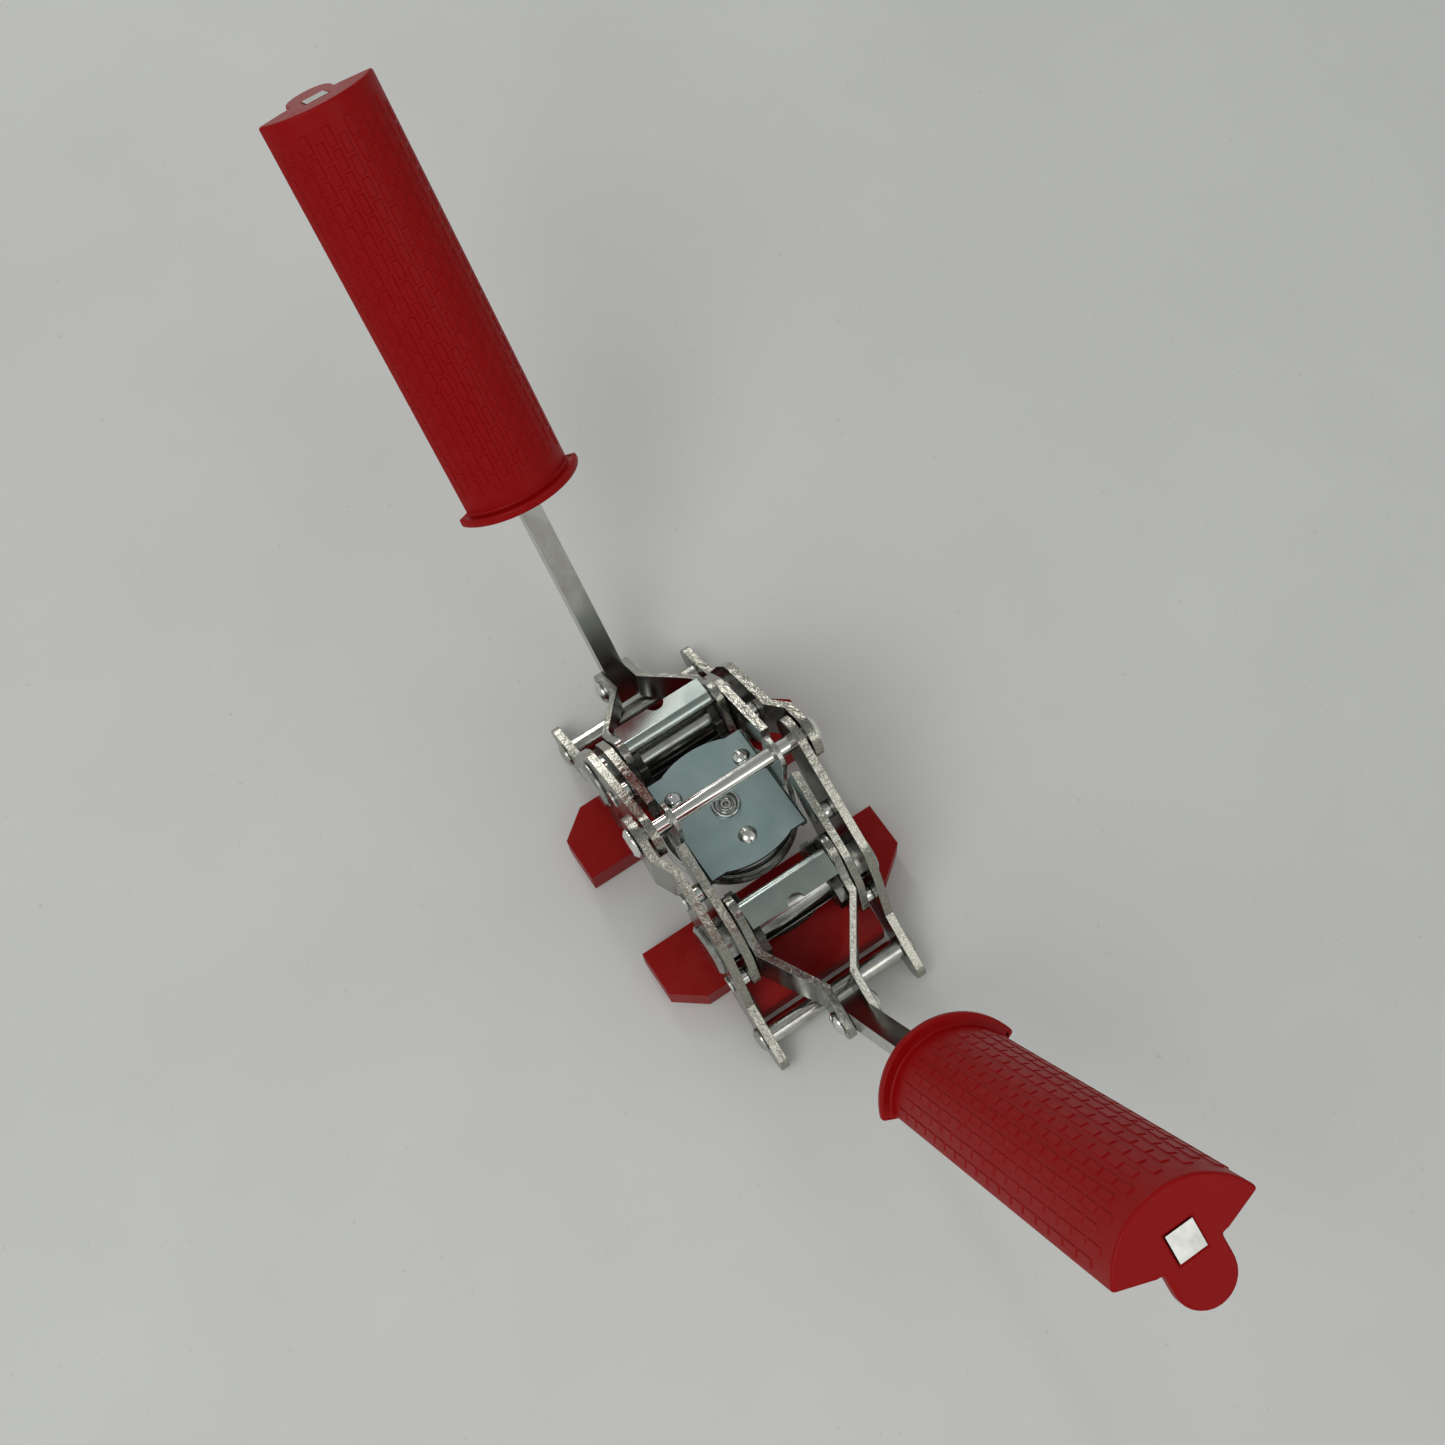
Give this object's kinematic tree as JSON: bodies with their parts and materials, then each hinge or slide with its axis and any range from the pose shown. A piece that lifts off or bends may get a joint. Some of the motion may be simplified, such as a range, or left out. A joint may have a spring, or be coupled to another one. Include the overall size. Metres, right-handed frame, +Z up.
{
  "type": "twin lever come along winch",
  "caption": "Hand winch of twin ratchet units hinged on a rod over a swivel, with red grips, split webbing spindles and red release slides.",
  "frame": {"origin": "on the ground, at the middle of the tool's length and width", "axes": "+Z up, along the swivel axis, +X along the tool towards the front unit's lever, Y along the hinge rod"},
  "size_m": [0.3468, 0.0772, 0.1762],
  "materials": {
    "grip_plastic": "semi-gloss moulded plastic with a fine block relief",
    "hanger": "zinc plated",
    "hardened": "dark hardened steel",
    "lever_arm": "zinc plated",
    "lever_bar": "bright drawn square bar",
    "liner_plate": "zinc plated, darker",
    "pawl_sheet": "zinc plated, bent",
    "race": "polished, pressed",
    "rivet": "bright headed rivet",
    "rod": "bright turned rod",
    "side_plate": "zinc plated, sheared edges",
    "slide_plastic": "semi-gloss moulded plastic",
    "spindle": "turned steel",
    "swivel_plate": "bluish zinc"
  },
  "bodies": {
    "swivel": {"swivel_top_plate": "swivel_plate", "swivel_rivets": "rivet", "swivel_stud": "rivet", "upper_race": "race", "stud_nut": "rivet", "left_hanger": "hanger", "right_hanger": "hanger", "hinge_rod": "rod"},
    "turntable": {"lower_race": "race"},
    "front_frame": {"front_left_plate": "side_plate", "front_right_plate": "side_plate", "front_left_liner": "liner_plate", "front_right_liner": "liner_plate", "front_liner_rivets": "rivet", "front_anchor_bolt": "rivet"},
    "front_spindle": {"front_upper_spindle_half": "spindle", "front_lower_spindle_half": "spindle", "front_left_ratchet_wheel": "hardened", "front_right_ratchet_wheel": "hardened", "front_spindle_caps": "spindle"},
    "front_lever": {"front_left_lever_arm": "lever_arm", "front_right_lever_arm": "lever_arm", "front_neck_rivet": "rivet", "front_lever_bar": "lever_bar", "front_grip": "grip_plastic"},
    "front_drive": {"front_drive_pawl": "pawl_sheet"},
    "front_release": {"front_release_slide": "slide_plastic", "front_lock_blade": "hardened"},
    "rear_frame": {"rear_left_plate": "side_plate", "rear_right_plate": "side_plate", "rear_left_liner": "liner_plate", "rear_right_liner": "liner_plate", "rear_liner_rivets": "rivet", "rear_anchor_bolt": "rivet"},
    "rear_spindle": {"rear_upper_spindle_half": "spindle", "rear_lower_spindle_half": "spindle", "rear_left_ratchet_wheel": "hardened", "rear_right_ratchet_wheel": "hardened", "rear_spindle_caps": "spindle"},
    "rear_lever": {"rear_left_lever_arm": "lever_arm", "rear_right_lever_arm": "lever_arm", "rear_neck_rivet": "rivet", "rear_lever_bar": "lever_bar", "rear_grip": "grip_plastic"},
    "rear_drive": {"rear_drive_pawl": "pawl_sheet"},
    "rear_release": {"rear_release_slide": "slide_plastic", "rear_lock_blade": "hardened"}
  },
  "joints": [
    {"name": "turntable_spin", "type": "hinge", "parent": "swivel", "child": "turntable", "pos_m": [0.00551, 0, 0.0336], "axis": [0, 0, 1], "continuous": true},
    {"name": "front_fold", "type": "hinge", "parent": "swivel", "child": "front_frame", "pos_m": [0.00551, 0, 0.0545], "axis": [0, -1, 0], "range_deg": [0, 22]},
    {"name": "front_lever_swing", "type": "hinge", "parent": "front_frame", "child": "front_lever", "pos_m": [0.03401, 0, 0.0305], "axis": [0, -1, 0], "range_deg": [-5, 25]},
    {"name": "front_spindle_turn", "type": "hinge", "parent": "front_frame", "child": "front_spindle", "pos_m": [0.03401, 0, 0.0305], "axis": [0, -1, 0], "continuous": true},
    {"name": "front_drive_pawl_slide", "type": "slide", "parent": "front_lever", "child": "front_drive", "axis": [-0.2419, 0, 0.9703], "range_m": [0, 0.0023], "stiffness_N_per_m": 400, "springref_m": -0.003},
    {"name": "front_release_slide", "type": "slide", "parent": "front_frame", "child": "front_release", "axis": [-0.3584, 0, -0.9336], "range_m": [-0.00038, 0.00184], "stiffness_N_per_m": 300, "springref_m": -0.004},
    {"name": "rear_fold", "type": "hinge", "parent": "swivel", "child": "rear_frame", "pos_m": [0.00551, 0, 0.0545], "axis": [0, 1, 0], "range_deg": [0, 22]},
    {"name": "rear_lever_swing", "type": "hinge", "parent": "rear_frame", "child": "rear_lever", "pos_m": [-0.02299, 0, 0.0305], "axis": [0, 1, 0], "range_deg": [0, 30]},
    {"name": "rear_spindle_turn", "type": "hinge", "parent": "rear_frame", "child": "rear_spindle", "pos_m": [-0.02299, 0, 0.0305], "axis": [0, 1, 0], "continuous": true},
    {"name": "rear_drive_pawl_slide", "type": "slide", "parent": "rear_lever", "child": "rear_drive", "axis": [0.1564, 0, 0.9877], "range_m": [0, 0.0023], "stiffness_N_per_m": 400, "springref_m": -0.003},
    {"name": "rear_release_slide", "type": "slide", "parent": "rear_frame", "child": "rear_release", "axis": [0.3584, 0, -0.9336], "range_m": [0, 0.00221], "stiffness_N_per_m": 300, "springref_m": -0.004}
  ],
  "couplings": [
    {"joint": "front_spindle_turn", "follows": "front_lever_swing", "ratio": 1},
    {"joint": "front_release_slide", "follows": "front_lever_swing", "m_per_rad": 0.0042017},
    {"joint": "rear_spindle_turn", "follows": "rear_lever_swing", "ratio": 1},
    {"joint": "rear_release_slide", "follows": "rear_lever_swing", "m_per_rad": 0.0042017}
  ]
}
